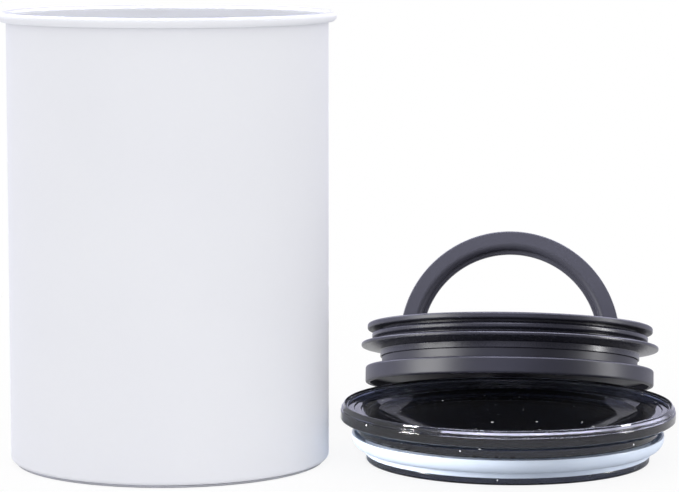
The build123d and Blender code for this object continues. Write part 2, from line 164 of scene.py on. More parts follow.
def paper_sweep():
    """Matt white paper: diffuse, with plain white mixed in for what the camera sees."""
    material, tree, place = start_material("matt white paper")
    cloud = add_node(
        tree, "ShaderNodeTexNoise",
        {"Vector": place, "Scale": pattern_scale(PAPER_CLOUD), "Detail": 2.0})
    tone = add_node(
        tree, "ShaderNodeMix",
        {"Factor": cloud.outputs["Fac"], "A": linear_colour("#F1F1F3"),
         "B": linear_colour("#F4F4F5")}, data_type="RGBA")
    paper = add_node(tree, "ShaderNodeBsdfDiffuse", {"Color": tone.outputs["Result"]})
    path = add_node(tree, "ShaderNodeLightPath")
    hue = add_node(
        tree, "ShaderNodeMix",
        {"Factor": path.outputs["Is Glossy Ray"], "A": linear_colour("#FFFFFF"),
         "B": linear_colour(MIRRORED_WHITE)}, data_type="RGBA")
    white = add_node(tree, "ShaderNodeEmission", {"Color": hue.outputs["Result"], "Strength": 1.0})
    reach = add_node(
        tree, "ShaderNodeVectorMath",
        {0: place, 1: (STUDIO_CENTRE.x, STUDIO_CENTRE.y, 0)}, operation="DISTANCE")
    far = add_node(
        tree, "ShaderNodeMapRange",
        {"Value": reach.outputs["Value"], "From Min": NEAR_REACH * MM, "From Max": FAR_REACH * MM},
        interpolation_type="SMOOTHSTEP")
    seen = add_node(
        tree, "ShaderNodeMapRange",
        {"Value": far.outputs["Result"], "To Min": NEAR_WHITE_SHARE, "To Max": 1.0})
    seen = add_node(
        tree, "ShaderNodeMath",
        {0: seen.outputs["Result"], 1: path.outputs["Is Camera Ray"]}, operation="MULTIPLY")
    mirrored = add_node(
        tree, "ShaderNodeMath",
        {0: far.outputs["Result"], 1: path.outputs["Is Glossy Ray"]}, operation="MULTIPLY")
    share = add_node(
        tree, "ShaderNodeMath", {0: seen.outputs[0], 1: mirrored.outputs[0]}, operation="MAXIMUM")
    mixed = add_node(
        tree, "ShaderNodeMixShader",
        {"Fac": share.outputs[0], 1: paper.outputs[0], 2: white.outputs[0]})
    return finish_material(material, mixed.outputs[0])


floor_mesh = bpy.data.meshes.new("studio_floor")
half = FLOOR_WIDTH * MM / 2
floor_mesh.from_pydata(
    [(-half, -half, 0), (half, -half, 0), (half, half, 0), (-half, half, 0)], [], [(0, 1, 2, 3)])
floor_mesh.materials.append(paper_sweep())
studio_floor = bpy.data.objects.new("studio_floor", floor_mesh)
bpy.context.scene.collection.objects.link(studio_floor)
print("floor", FLOOR_WIDTH, "mm wide")

# %% [markdown]
# The world gives the even light of a white room. The canister takes nearly all its light from that,
# because its coat looks flat in the photograph. Mirror images are another matter. A gloss shows a
# bright backdrop behind the object and a dim room on the camera's side. That room has a broad
# window, a doorway, lamps in an arch over the object and skylights behind it. Those draw the dark
# and light lines on the lids' edges: the arch is what carries the line on the outer lid's crest on
# from the front to the sides. So the world answers each kind of ray on its own.

# %% Studio world
AMBIENT_STRENGTH = 0.98
ROOM_STRENGTH = 0.4
BACKDROP_STRENGTH = 1.0
ROOM_EDGE = -0.25
BACKDROP_EDGE = 0.25
GLOWS = (
    # name, bearing from the camera, height angle, inner and outer radius in degrees, strength
    ("window", -20.0, 54.0, 10.0, 34.0, 5.0),
    ("ceiling lamp", 0.0, 74.0, 6.0, 21.0, 15.0),
    ("left ceiling lamp", -78.0, 66.0, 5.0, 20.0, 14.0),
    ("right ceiling lamp", 78.0, 66.0, 5.0, 20.0, 14.0),
    ("doorway", 0.0, 17.0, 10.0, 26.0, 0.7),
    ("left skylight", -125.0, 42.0, 10.0, 34.0, 7.0),
    ("right skylight", 125.0, 42.0, 10.0, 34.0, 7.0),
)


def direction_at(bearing, rise):
    """The unit direction at a bearing from the camera, to the right, and a height angle."""
    return Vector((
        math.sin(math.radians(bearing)) * math.cos(math.radians(rise)),
        -math.cos(math.radians(bearing)) * math.cos(math.radians(rise)),
        math.sin(math.radians(rise))))


world = bpy.data.worlds.new("white room")
bpy.context.scene.world = world
world.use_nodes = True
world.node_tree.nodes.clear()
tree = world.node_tree
direction = add_node(tree, "ShaderNodeTexCoord").outputs["Generated"]
parts = add_node(tree, "ShaderNodeSeparateXYZ", {0: direction})
mirrored = add_node(
    tree, "ShaderNodeMapRange",
    {"Value": parts.outputs["Y"], "From Min": ROOM_EDGE, "From Max": BACKDROP_EDGE,
     "To Min": ROOM_STRENGTH, "To Max": BACKDROP_STRENGTH},
    interpolation_type="SMOOTHSTEP").outputs["Result"]
for name, bearing, rise, inner, outer, strength in GLOWS:
    nearness = add_node(
        tree, "ShaderNodeVectorMath", {0: direction, 1: direction_at(bearing, rise)},
        operation="DOT_PRODUCT", label=name)
    glow = add_node(
        tree, "ShaderNodeMapRange",
        {"Value": nearness.outputs["Value"], "From Min": math.cos(math.radians(outer)),
         "From Max": math.cos(math.radians(inner)), "To Max": strength},
        interpolation_type="SMOOTHSTEP")
    mirrored = add_node(
        tree, "ShaderNodeMath", {0: mirrored, 1: glow.outputs["Result"]},
        operation="ADD").outputs[0]
path = add_node(tree, "ShaderNodeLightPath")
lit = add_node(
    tree, "ShaderNodeMix",
    {"Factor": path.outputs["Is Glossy Ray"], "A": AMBIENT_STRENGTH, "B": mirrored})
clear = add_node(
    tree, "ShaderNodeMath",
    {0: path.outputs["Is Camera Ray"], 1: path.outputs["Is Transmission Ray"]}, operation="MAXIMUM")
strength = add_node(
    tree, "ShaderNodeMix", {"Factor": clear.outputs[0], "A": lit.outputs["Result"], "B": 1.0})
tint = add_node(
    tree, "ShaderNodeMix",
    {"Factor": path.outputs["Is Glossy Ray"], "A": linear_colour("#FFFFFF"),
     "B": linear_colour(MIRRORED_WHITE)}, data_type="RGBA")
background = add_node(
    tree, "ShaderNodeBackground",
    {"Color": tint.outputs["Result"], "Strength": strength.outputs["Result"]})
add_node(tree, "ShaderNodeOutputWorld", {"Surface": background.outputs[0]})
print("world", len(tree.nodes), "nodes,", len(GLOWS), "glows")

# %% [markdown]
# Three soft boxes model the lids. A large, faint one hangs overhead, and two tall ones stand at the
# sides, almost level with the lids. The side boxes draw the two upright highlights on the black
# band, so their bearings are set by where those highlights stand in the photograph. A later cell
# links them to the lids alone, so that the canister neither takes their light nor stands in its way.

# %% Soft boxes
SOFT_BOXES = (
    # name, bearing from the camera, height angle, distance, width, height, power in watts
    ("overhead box", 20.0, 78.0, 1500.0, 1300.0, 1300.0, 2.0),
    ("left box", -71.0, 12.0, 1300.0, 260.0, 900.0, 40.0),
    ("right box", 83.0, 12.0, 1300.0, 180.0, 900.0, 13.0),
)

soft_boxes = {}
for name, bearing, rise, distance, width, height, power in SOFT_BOXES:
    lamp = bpy.data.objects.new(name, bpy.data.lights.new(name, "AREA"))
    lamp.data.shape = "RECTANGLE"
    lamp.data.size, lamp.data.size_y = width * MM, height * MM
    lamp.data.energy = power
    away = direction_at(bearing, rise)
    lamp.location = STUDIO_CENTRE + away * distance * MM
    lamp.rotation_euler = (-away).to_track_quat("-Z", "Y").to_euler()
    bpy.context.scene.collection.objects.link(lamp)
    soft_boxes[name] = lamp
    print(name, power, "W at", distance, "mm")

# %% [markdown]
# Nearly every piece here is round, made on a lathe or in a turned mould. A rule fits such a piece:
# draw half of its section, then turn it about an axis. Each section is a list of corners in
# millimetres, as a machinist would note them: distance from the axis, height, and the rounding of
# that corner. The helper below lays an arc into each rounded corner. It also sets a point just
# outside each end of the arc, which keeps the flats beside it flat when they are shaded smooth.
# Four roundings come up on many pieces, so they have names, from a keen edge to a soft one.

# %% Outline helpers
ARC_STEP = math.radians(15)
LEAST_STEPS = 2
HOLD_SHARE = 0.12
KEEN_EDGE = 0.15
FINE_EDGE = 0.2
SMALL_EDGE = 0.3
SOFT_EDGE = 0.4


def rounded_outline(corners):
    """Points along an outline whose corners are (distance from the axis, height, rounding)."""
    points = []
    for index, (radius, height, rounding) in enumerate(corners):
        here = Vector((radius, height))
        if not rounding:
            points.append(here)
            continue
        back = Vector(corners[index - 1][:2]) - here
        ahead = Vector(corners[(index + 1) % len(corners)][:2]) - here
        half_angle = back.angle(ahead) / 2
        trim = rounding / math.tan(half_angle)
        middle = (back.normalized() + ahead.normalized()).normalized()
        centre = here + middle * (rounding / math.sin(half_angle))
        first = here + back.normalized() * trim - centre
        last = here + ahead.normalized() * trim - centre
        sweep = math.atan2(first.x * last.y - first.y * last.x, first.dot(last))
        steps = max(LEAST_STEPS, round(abs(sweep) / ARC_STEP))
        points.append(centre + first + back.normalized() * HOLD_SHARE * rounding)
        points.extend(
            centre + Matrix.Rotation(sweep * step / steps, 2) @ first for step in range(steps + 1))
        points.append(centre + last + ahead.normalized() * HOLD_SHARE * rounding)
    return points


def arc_corners(centre, radius, start, end, steps):
    """Plain corners along an arc about a point of the section, between two angles in degrees."""
    angles = [math.radians(start + (end - start) * step / steps) for step in range(steps + 1)]
    return [
        (centre[0] + radius * math.cos(angle), centre[1] + radius * math.sin(angle), 0)
        for angle in angles]


# %% [markdown]
# The turning itself is a Geometry Nodes tree, because the rule is the same for every piece and
# only its numbers change. The tree lays out a grid with one row for each point of the outline and
# one column for each step of the turn. It then looks up the outline's point for each row, and
# swings it round the axis by the column's angle. Merging closes the seam and the pole. Edges that
# are sharper than the crease angle stay crisp, and the rest is shaded smooth.


# %% The turning tree
TURN_STEPS = 256
MERGE_DISTANCE = 0.002
CREASE_ANGLE = math.radians(32)


def turning_tree():
    """Turns an outline in the XZ plane about the Z axis."""
    tree = bpy.data.node_groups.new("Turn an outline", "GeometryNodeTree")
    for label, kind, value in (
            ("Outline", "NodeSocketGeometry", None),
            ("Steps", "NodeSocketInt", TURN_STEPS),
            ("Share of a turn", "NodeSocketFloat", 1.0),
            ("Merge distance", "NodeSocketFloat", MERGE_DISTANCE * MM),
            ("Crease angle", "NodeSocketFloat", CREASE_ANGLE),
            ("Finish", "NodeSocketMaterial", None)):
        socket = tree.interface.new_socket(label, in_out="INPUT", socket_type=kind)
        if value is not None:
            socket.default_value = value
    tree.interface.new_socket("Piece", in_out="OUTPUT", socket_type="NodeSocketGeometry")
    given = add_node(tree, "NodeGroupInput").outputs
    points = add_node(
        tree, "GeometryNodeAttributeDomainSize", {"Geometry": given["Outline"]}, component="MESH")
    columns = add_node(tree, "ShaderNodeMath", {0: given["Steps"], 1: 1.0}, operation="ADD")
    grid = add_node(
        tree, "GeometryNodeMeshGrid",
        {"Vertices X": points.outputs["Point Count"], "Vertices Y": columns.outputs[0]})
    index = add_node(tree, "GeometryNodeInputIndex").outputs[0]
    row = add_node(
        tree, "ShaderNodeMath", {0: index, 1: columns.outputs[0]}, operation="DIVIDE")
    row = add_node(tree, "ShaderNodeMath", {0: row.outputs[0]}, operation="FLOOR")
    column = add_node(
        tree, "ShaderNodeMath", {0: index, 1: columns.outputs[0]}, operation="MODULO")
    share = add_node(
        tree, "ShaderNodeMath", {0: column.outputs[0], 1: given["Steps"]}, operation="DIVIDE")
    turn = add_node(
        tree, "ShaderNodeMath", {0: share.outputs[0], 1: given["Share of a turn"]},
        operation="MULTIPLY")
    angle = add_node(
        tree, "ShaderNodeMath", {0: turn.outputs[0], 1: math.tau}, operation="MULTIPLY")
    place = add_node(tree, "GeometryNodeInputPosition").outputs[0]
    corner = add_node(
        tree, "GeometryNodeSampleIndex",
        {"Geometry": given["Outline"], "Value": place, "Index": row.outputs[0]},
        data_type="FLOAT_VECTOR", domain="POINT")
    swung = add_node(
        tree, "ShaderNodeVectorRotate",
        {"Vector": corner.outputs["Value"], "Angle": angle.outputs[0]}, rotation_type="Z_AXIS")
    turned = add_node(
        tree, "GeometryNodeSetPosition",
        {"Geometry": grid.outputs["Mesh"], "Position": swung.outputs[0]})
    closed = add_node(
        tree, "GeometryNodeMergeByDistance",
        {"Geometry": turned.outputs["Geometry"], "Distance": given["Merge distance"]})
    soft = add_node(
        tree, "GeometryNodeSetShadeSmooth",
        {"Geometry": closed.outputs["Geometry"], "Shade Smooth": True}, domain="FACE")
    bend = add_node(tree, "GeometryNodeInputMeshEdgeAngle").outputs["Unsigned Angle"]
    sharp = add_node(
        tree, "FunctionNodeCompare", {"A": bend, "B": given["Crease angle"]},
        data_type="FLOAT", operation="GREATER_THAN")
    creased = add_node(
        tree, "GeometryNodeSetShadeSmooth",
        {"Geometry": soft.outputs["Geometry"], "Selection": sharp.outputs["Result"],
         "Shade Smooth": False}, domain="EDGE")
    real = add_node(
        tree, "GeometryNodeRealizeInstances", {"Geometry": creased.outputs["Geometry"]})
    painted = add_node(
        tree, "GeometryNodeSetMaterial",
        {"Geometry": real.outputs["Geometry"], "Material": given["Finish"]})
    add_node(tree, "NodeGroupOutput", {"Piece": painted.outputs["Geometry"]})
    return tree


TURNING = turning_tree()
print("turning tree", len(TURNING.nodes), "nodes")

# %% [markdown]
# The next helpers take a piece from its outline to its place. The tree runs on the outline, and the
# result is kept as a plain mesh, with the modifier gone. Open ends are closed, and the faces are
# turned outwards if the turn has left them inwards. At last the mesh is moved to its place and made
# an object that rides on its CAD body.


# %% Helpers that run the tree and place a piece
def grown_mesh(tree, seed, inputs):
    """The plain mesh that a Geometry Nodes tree grows from a seed mesh."""
    carrier = bpy.data.objects.new("carrier", seed)
    bpy.context.scene.collection.objects.link(carrier)
    modifier = carrier.modifiers.new("grow", "NODES")
    modifier.node_group = tree
    identifiers = {
        item.name: item.identifier for item in tree.interface.items_tree
        if item.item_type == "SOCKET" and item.in_out == "INPUT"}
    for label, value in inputs.items():
        modifier[identifiers[label]] = value
    evaluated = carrier.evaluated_get(bpy.context.evaluated_depsgraph_get())
    mesh = bpy.data.meshes.new_from_object(evaluated)
    carrier.modifiers.remove(modifier)
    bpy.data.objects.remove(carrier)
    bpy.data.meshes.remove(seed)
    return mesh


def turned_mesh(points, finish, ring=True, steps=TURN_STEPS, share=1.0):
    """Turns an outline in millimetres. A ring's outline is closed, and a disc's ends on the axis."""
    if ring:
        points = points + points[:1]
    seed = bpy.data.meshes.new("outline")
    seed.from_pydata(
        [(point[0] * MM, 0, point[1] * MM) for point in points],
        [(index, index + 1) for index in range(len(points) - 1)], [])
    return grown_mesh(
        TURNING, seed, {"Steps": steps, "Share of a turn": share, "Finish": finish})


def faced_outwards(mesh):
    """Closes open ends, and turns the faces outwards if the mesh's volume comes out negative."""
    shape = bmesh.new()
    shape.from_mesh(mesh)
    open_edges = [edge for edge in shape.edges if edge.is_boundary]
    if open_edges:
        bmesh.ops.holes_fill(shape, edges=open_edges)
        bmesh.ops.recalc_face_normals(shape, faces=shape.faces)
    if shape.calc_volume(signed=True) < 0:
        bmesh.ops.reverse_faces(shape, faces=shape.faces)
    shape.to_mesh(mesh)
    shape.free()
    return mesh


def joined_mesh(meshes):
    """One mesh from several that share one finish."""
    shape = bmesh.new()
    for mesh in meshes:
        shape.from_mesh(mesh)
    joined = meshes[0].copy()
    shape.to_mesh(joined)
    shape.free()
    return joined


def place_piece(name, mesh, pose, body, node=None):
    """Moves a mesh to its pose and makes it a piece that rides on its body."""
    mesh.transform(pose)
    mesh.name = name
    piece = bpy.data.objects.new(name, mesh)
    bpy.context.scene.collection.objects.link(piece)
    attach(piece, body)
    if node:
        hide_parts(node)
    sides = tuple(round(side / MM, 1) for side in piece.dimensions)
    print(name, len(mesh.polygons), "faces", sides, "mm")
    return piece


# %% [markdown]
# The canister's outside has a baked powder coat: an epoxy-polyester powder that melts into a matt,
# faintly pebbled skin. To the eye it is an even off-white without any mirror image, a little cooler
# than paper. The pebbling of real powder coat is about 0.4 mm across. It is drawn at 0.9 mm,
# because a finer one would vanish in the render.

# %% Matt powder coat
COAT_PEBBLE = 0.9
PEBBLE_DEPTH = 0.04
COAT_CLOUD = 45.0


def powder_coat():
    """Matt off-white powder coat, pebbled, with a faint drift in its tone."""
    material, tree, place = start_material("matt powder coat")
    cloud = add_node(
        tree, "ShaderNodeTexNoise",
        {"Vector": place, "Scale": pattern_scale(COAT_CLOUD), "Detail": 2.0})
    tone = add_node(
        tree, "ShaderNodeMix",
        {"Factor": cloud.outputs["Fac"], "A": linear_colour("#EBECF1"),
         "B": linear_colour("#EFF0F4")}, data_type="RGBA")
    pebble = add_node(
        tree, "ShaderNodeTexNoise",
        {"Vector": place, "Scale": pattern_scale(COAT_PEBBLE), "Detail": 3.0, "Roughness": 0.6})
    sheen = add_node(
        tree, "ShaderNodeMapRange",
        {"Value": pebble.outputs["Fac"], "From Min": 0.3, "From Max": 0.7,
         "To Min": 0.5, "To Max": 0.62})
    relief = add_node(
        tree, "ShaderNodeBump",
        {"Height": pebble.outputs["Fac"], "Strength": 0.12, "Distance": PEBBLE_DEPTH * MM})
    surface = add_node(
        tree, "ShaderNodeBsdfPrincipled",
        {"Base Color": tone.outputs["Result"], "Roughness": sheen.outputs["Result"],
         "Normal": relief.outputs["Normal"], "IOR": 1.5, "Specular IOR Level": 0.4})
    return finish_material(material, surface.outputs[0])


POWDER_COAT = powder_coat()

# %% [markdown]
# Inside, the canister is bare stainless steel, brushed round and round while it spun. Brushing
# cuts fine grooves that run with the spin, so light smears up and down across them. Noise that is
# squeezed along the height and drawn out along the wall makes such grooves. The real grooves are
# under 0.1 mm apart. They are drawn 0.5 mm apart so that some of them show.

# %% Bare steel finishes
BRUSH_GROOVE = 0.5
BRUSH_DEPTH = 0.02
BRUSH_LENGTH = 60.0
GROOVE_DULLING = 0.1
RIDGE_POLISH = 0.06


def bare_steel(name, bright, dull, roughness):
    """Brushed steel whose grooves run level round the part."""
    material, tree, place = start_material(name)
    along, across = pattern_scale(BRUSH_LENGTH), pattern_scale(BRUSH_GROOVE)
    squeezed = add_node(
        tree, "ShaderNodeMapping", {"Vector": place, "Scale": (along, along, across)})
    groove = add_node(
        tree, "ShaderNodeTexNoise",
        {"Vector": squeezed.outputs["Vector"], "Scale": 1.0, "Detail": 4.0, "Roughness": 0.65})
    tone = add_node(
        tree, "ShaderNodeMix",
        {"Factor": groove.outputs["Fac"], "A": linear_colour(dull), "B": linear_colour(bright)},
        data_type="RGBA")
    shine = add_node(
        tree, "ShaderNodeMapRange",
        {"Value": groove.outputs["Fac"], "To Min": roughness + GROOVE_DULLING,
         "To Max": roughness - RIDGE_POLISH})
    relief = add_node(
        tree, "ShaderNodeBump",
        {"Height": groove.outputs["Fac"], "Strength": 0.25, "Distance": BRUSH_DEPTH * MM})
    surface = add_node(
        tree, "ShaderNodeBsdfPrincipled",
        {"Base Color": tone.outputs["Result"], "Metallic": 1.0,
         "Roughness": shine.outputs["Result"], "Normal": relief.outputs["Normal"]})
    return finish_material(material, surface.outputs[0])


BRUSHED_STEEL = bare_steel("brushed stainless steel", "#DADBDE", "#B9BABD", 0.34)
# The edge steel's dark colours are a painted reflection of the dark that the mouth's steel edge
# mirrors.
PAINTED_DARK_EDGE_STEEL = bare_steel("bare steel edge with painted dark reflection", "#5A5B60", "#35363A", 0.3)
PLATED_STEEL = bare_steel("plated steel", "#BEBFC2", "#96979A", 0.3)

# %% [markdown]
# The canister is one drawn sheet. Its wall rolls outwards into a bead at the mouth, and turns in at
# the bottom, where the base is seamed on. The section runs up the outside, round the hollow of the
# roll, back over its top, and down the inside. The faces then take their finish by how far they are
# from the axis: coat outside, brushed steel inside, and a narrow strip of bare steel on top of the
# bead, where the coat was masked. That strip is coloured dark: a painted reflection of the dark that
# the steel edge mirrors.

# %% Canister wall
CANISTER_BODY = "canister"
STEEL_THICKNESS = 0.6
BEAD_DIAMETER = 3.7
BEAD_START = -110
BEAD_END = 180
BEAD_STEPS = 40
WALL_CORNER = 1.6
LIP_WIDTH = 5.0
FOOT_MARGIN = 0.1
# Angles round the bead between which the strip of steel painted dark, as its reflection, runs.
PAINTED_DARK_STRIP_START = 55
PAINTED_DARK_STRIP_END = 143
BRUSHED_SLOT = 1
PAINTED_DARK_EDGE_SLOT = 2

wall_low, wall_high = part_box("canister_shell")
mouth_height = wall_high.z / MM
shell_foot = wall_low.z / MM
bead_radius = BEAD_DIAMETER / 2
bead_middle = (wall_high.x / MM - bead_radius, mouth_height - bead_radius)
inner_radius = bead_middle[0] - bead_radius
outer_radius = inner_radius + STEEL_THICKNESS
lip_radius = outer_radius - WALL_CORNER - LIP_WIDTH

canister_section = rounded_outline(
    [(lip_radius, shell_foot, FINE_EDGE),
     (outer_radius, shell_foot, WALL_CORNER),
     (outer_radius, bead_middle[1], 0)]
    + arc_corners(
        bead_middle, bead_radius - STEEL_THICKNESS, BEAD_END, BEAD_START, BEAD_STEPS // 2)
    + arc_corners(bead_middle, bead_radius, BEAD_START, BEAD_END, BEAD_STEPS)
    + [(inner_radius, shell_foot + STEEL_THICKNESS, WALL_CORNER - STEEL_THICKNESS),
       (lip_radius, shell_foot + STEEL_THICKNESS, FINE_EDGE)])
wall_mesh = faced_outwards(turned_mesh(canister_section, POWDER_COAT))

painted_dark_strip_outside = bead_middle[0] + bead_radius * math.cos(math.radians(PAINTED_DARK_STRIP_START))
painted_dark_strip_inside = bead_middle[0] + bead_radius * math.cos(math.radians(PAINTED_DARK_STRIP_END))
wall_mesh.materials.append(BRUSHED_STEEL)
wall_mesh.materials.append(PAINTED_DARK_EDGE_STEEL)
for face in wall_mesh.polygons:
    from_axis = math.hypot(face.center.x, face.center.y) / MM
    if from_axis < painted_dark_strip_inside and face.center.z / MM > shell_foot + FOOT_MARGIN:
        face.material_index = BRUSHED_SLOT
    # Faces on top of the bead take the steel painted dark for its reflection.
    elif from_axis < painted_dark_strip_outside and face.center.z / MM > bead_middle[1] + STEEL_THICKNESS:
        face.material_index = PAINTED_DARK_EDGE_SLOT
place_piece(
    "canister_wall", wall_mesh, Matrix.Identity(4), CANISTER_BODY, "canister_shell")

# %% [markdown]
# The outer lid is moulded in a hard, clear, smoke-tinted styrene plastic. Polished mould steel
# gives it a gloss with sharp mirror images. The tint is in the plastic and not on it, so thin walls
# look grey, and a long way through it, such as along an edge, looks almost black. Volume absorption
# does exactly this. The surface itself stays clear, with a faint waviness from moulding, a trace of
# haze and some specks of dust, as the photograph shows.

# %% Smoke-tinted plastic
SMOKE_DENSITY = 600.0
HAZE_SHARE = 0.003
DUST_CELL = 3.4
CLEAN_CELLS_SHARE = 0.8
SPECK_SHARE = 0.16
MOULD_WAVE = 14.0
WAVE_DEPTH = 0.05


def smoke_plastic():
    """Clear styrene with a smoke tint in its volume, and a little dust on it."""
    material, tree, place = start_material("smoke tinted styrene")
    wave = add_node(
        tree, "ShaderNodeTexNoise",
        {"Vector": place, "Scale": pattern_scale(MOULD_WAVE), "Detail": 1.0})
    relief = add_node(
        tree, "ShaderNodeBump",
        {"Height": wave.outputs["Fac"], "Strength": 0.2, "Distance": WAVE_DEPTH * MM})
    clear = add_node(
        tree, "ShaderNodeBsdfPrincipled",
        {"Base Color": linear_colour("#D3D8E4"), "Roughness": 0.03, "IOR": 1.57,
         "Transmission Weight": 1.0, "Normal": relief.outputs["Normal"]})
    cell = add_node(
        tree, "ShaderNodeTexVoronoi", {"Vector": place, "Scale": pattern_scale(DUST_CELL)})
    chosen = add_node(tree, "ShaderNodeSeparateColor", {0: cell.outputs["Color"]})
    size = add_node(
        tree, "ShaderNodeMapRange",
        {"Value": chosen.outputs["Red"], "From Min": CLEAN_CELLS_SHARE, "From Max": 1.0,
         "To Min": 0.0, "To Max": SPECK_SHARE})
    speck = add_node(
        tree, "ShaderNodeMath", {0: cell.outputs["Distance"], 1: size.outputs["Result"]},
        operation="LESS_THAN")
    film = add_node(
        tree, "ShaderNodeMath", {0: speck.outputs[0], 1: HAZE_SHARE}, operation="MAXIMUM")
    dust = add_node(
        tree, "ShaderNodeBsdfPrincipled",
        {"Base Color": linear_colour("#F0F1F4"), "Roughness": 0.8})
    mixed = add_node(
        tree, "ShaderNodeMixShader",
        {"Fac": film.outputs[0], 1: clear.outputs[0], 2: dust.outputs[0]})
    tint = add_node(
        tree, "ShaderNodeVolumeAbsorption",
        {"Color": linear_colour("#8A93AB"), "Density": SMOKE_DENSITY})
    return finish_material(material, mixed.outputs[0], tint.outputs[0])


SMOKE_PLASTIC = smoke_plastic()

# %% [markdown]
# The outer lid's section is a stack of shallow steps round a dish, with a rounded cove between
# them, a flange outside, and a skirt below that holds the gasket. Every corner of a moulded part is
# a little round. These small roundings are what catches the light as thin bright rings, so each
# corner has its own.

# %% Outer lid
OUTER_LID_BODY = "outer_lid"
LID_WALL = 1.8
DISH_RADIUS = 41.0
DISH_HEIGHT = 16.5
COVE_WIDTH = 8.2
COVE_DEPTH = 2.4
COVE_STEPS = 12
TREADS = ((56.0, 18.9), (58.6, 19.35), (60.9, 19.8))
LEDGE = (61.6, 20.7)
CREST = (62.4, 22.25)
CREST_ROUNDING = 0.35
CREST_FACET = ((62.8, 20.9), (63.6, 20.1))
CREST_GROOVE = (63.3, 19.35)
GROOVE_ROUNDING = 0.12
FLANGE_TOP = 18.95
FLANGE_TOP_ROUNDING = 0.45
FLANGE_BOTTOM = 14.0
FLANGE_BEVEL = (3.2, 1.9)
BEVEL_ROUNDING = 0.5
NECK_RADIUS = 57.6
NECK_BOTTOM = 10.6
NECK_ROUNDING = 0.25
SKIRT_RADIUS = 52.0
FOOT_RING = 2.6
FOOT_RADIUS = 54.0
FOOT_ROUNDING = 0.35
LID_STEPS = 384

lid_low, lid_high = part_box("outer_lid_shell")
lid_centre = Vector(((lid_low.x + lid_high.x) / 2, (lid_low.y + lid_high.y) / 2, 0))
flange_radius = (lid_high.x - lid_low.x) / 2 / MM
cove_radius = (COVE_WIDTH**2 + COVE_DEPTH**2) / (2 * COVE_DEPTH)
cove_centre = (DISH_RADIUS, DISH_HEIGHT + cove_radius)
cove_end = math.degrees(math.acos((cove_radius - COVE_DEPTH) / cove_radius)) - 90
ceiling_height = TREADS[0][1] - LID_WALL
ceiling_end = math.degrees(
    math.acos((cove_centre[1] - ceiling_height) / (cove_radius + LID_WALL))) - 90

steps_outline = []
for (tread_end, tread_height), (_, next_height) in zip(TREADS, TREADS[1:]):
    steps_outline += [
        (tread_end, tread_height, KEEN_EDGE), (tread_end, next_height, FINE_EDGE)]

lid_section = rounded_outline(
    [(0, DISH_HEIGHT, 0)]
    + arc_corners(cove_centre, cove_radius, -90, cove_end, COVE_STEPS)[:-1]
    + [(DISH_RADIUS + COVE_WIDTH, TREADS[0][1], SMALL_EDGE)]
    + steps_outline
    + [(*TREADS[-1], FINE_EDGE),
       (TREADS[-1][0], LEDGE[1], SMALL_EDGE),
       (*LEDGE, SMALL_EDGE),
       (*CREST, CREST_ROUNDING),
       (*CREST_FACET[0], KEEN_EDGE),
       (*CREST_FACET[1], FINE_EDGE),
       (*CREST_GROOVE, GROOVE_ROUNDING),
       (flange_radius, FLANGE_TOP, FLANGE_TOP_ROUNDING),
       (flange_radius, FLANGE_BOTTOM + FLANGE_BEVEL[1], BEVEL_ROUNDING),
       (flange_radius - FLANGE_BEVEL[0], FLANGE_BOTTOM, SMALL_EDGE),
       (NECK_RADIUS, FLANGE_BOTTOM, SMALL_EDGE),
       (NECK_RADIUS, NECK_BOTTOM, NECK_ROUNDING),
       (SKIRT_RADIUS, NECK_BOTTOM, 0),
       (SKIRT_RADIUS, FOOT_RING, 0),
       (FOOT_RADIUS, FOOT_RING, FOOT_ROUNDING),
       (FOOT_RADIUS, 0, SOFT_EDGE),
       (SKIRT_RADIUS - LID_WALL, 0, SMALL_EDGE),
       (SKIRT_RADIUS - LID_WALL, NECK_BOTTOM + LID_WALL, SOFT_EDGE),
       (NECK_RADIUS - LID_WALL, NECK_BOTTOM + LID_WALL, SMALL_EDGE),
       (NECK_RADIUS - LID_WALL, ceiling_height, SOFT_EDGE)]
    + arc_corners(cove_centre, cove_radius + LID_WALL, ceiling_end, -90, COVE_STEPS)
    + [(0, DISH_HEIGHT - LID_WALL, 0)])
lid_mesh = faced_outwards(turned_mesh(lid_section, SMOKE_PLASTIC, ring=False, steps=LID_STEPS))
place_piece(
    "outer_lid_cap", lid_mesh, Matrix.Translation(lid_centre), OUTER_LID_BODY,
    "outer_lid_shell")

# %% [markdown]
# The gasket is cast from natural silicone. It is milky and lets a little light through, so it looks
# bright and bluish in front of the dark skirt. A pale, bluish colour with a small share of rough
# transmission gives that look.

# %% Milky silicone
SILICONE_CLOUD = 9.0


def milky_silicone():
    """Natural silicone rubber: pale, rough and see-through at once."""
    material, tree, place = start_material("natural silicone rubber")
    cloud = add_node(
        tree, "ShaderNodeTexNoise",
        {"Vector": place, "Scale": pattern_scale(SILICONE_CLOUD), "Detail": 2.0})
    tone = add_node(
        tree, "ShaderNodeMix",
        {"Factor": cloud.outputs["Fac"], "A": linear_colour("#C2CDDE"),
         "B": linear_colour("#CED8E6")}, data_type="RGBA")
    surface = add_node(
        tree, "ShaderNodeBsdfPrincipled",
        {"Base Color": tone.outputs["Result"], "Roughness": 0.34, "IOR": 1.41,
         "Transmission Weight": 0.2})
    return finish_material(material, surface.outputs[0])


MILKY_SILICONE = milky_silicone()

# %% [markdown]
# The gasket is a sleeve round the skirt with one thin lip. The lip curls outwards and up, so that it
# folds back against the canister's wall when the lid goes in. Its curve is an arc through three
# points: the root, the tip, and a bulge that keeps it bowed.

# %% Outer lid's gasket
GASKET_SLEEVE = 2.5
GASKET_LIP = 0.9
LIP_ROOT_RISE = 2.0
LIP_TIP_RADIUS = 59.5
LIP_TIP_DROP = 0.4
LIP_BULGE_SHARE = 0.75
LIP_STEPS = 10
GASKET_GAP = 0.05
GASKET_STEPS = 320

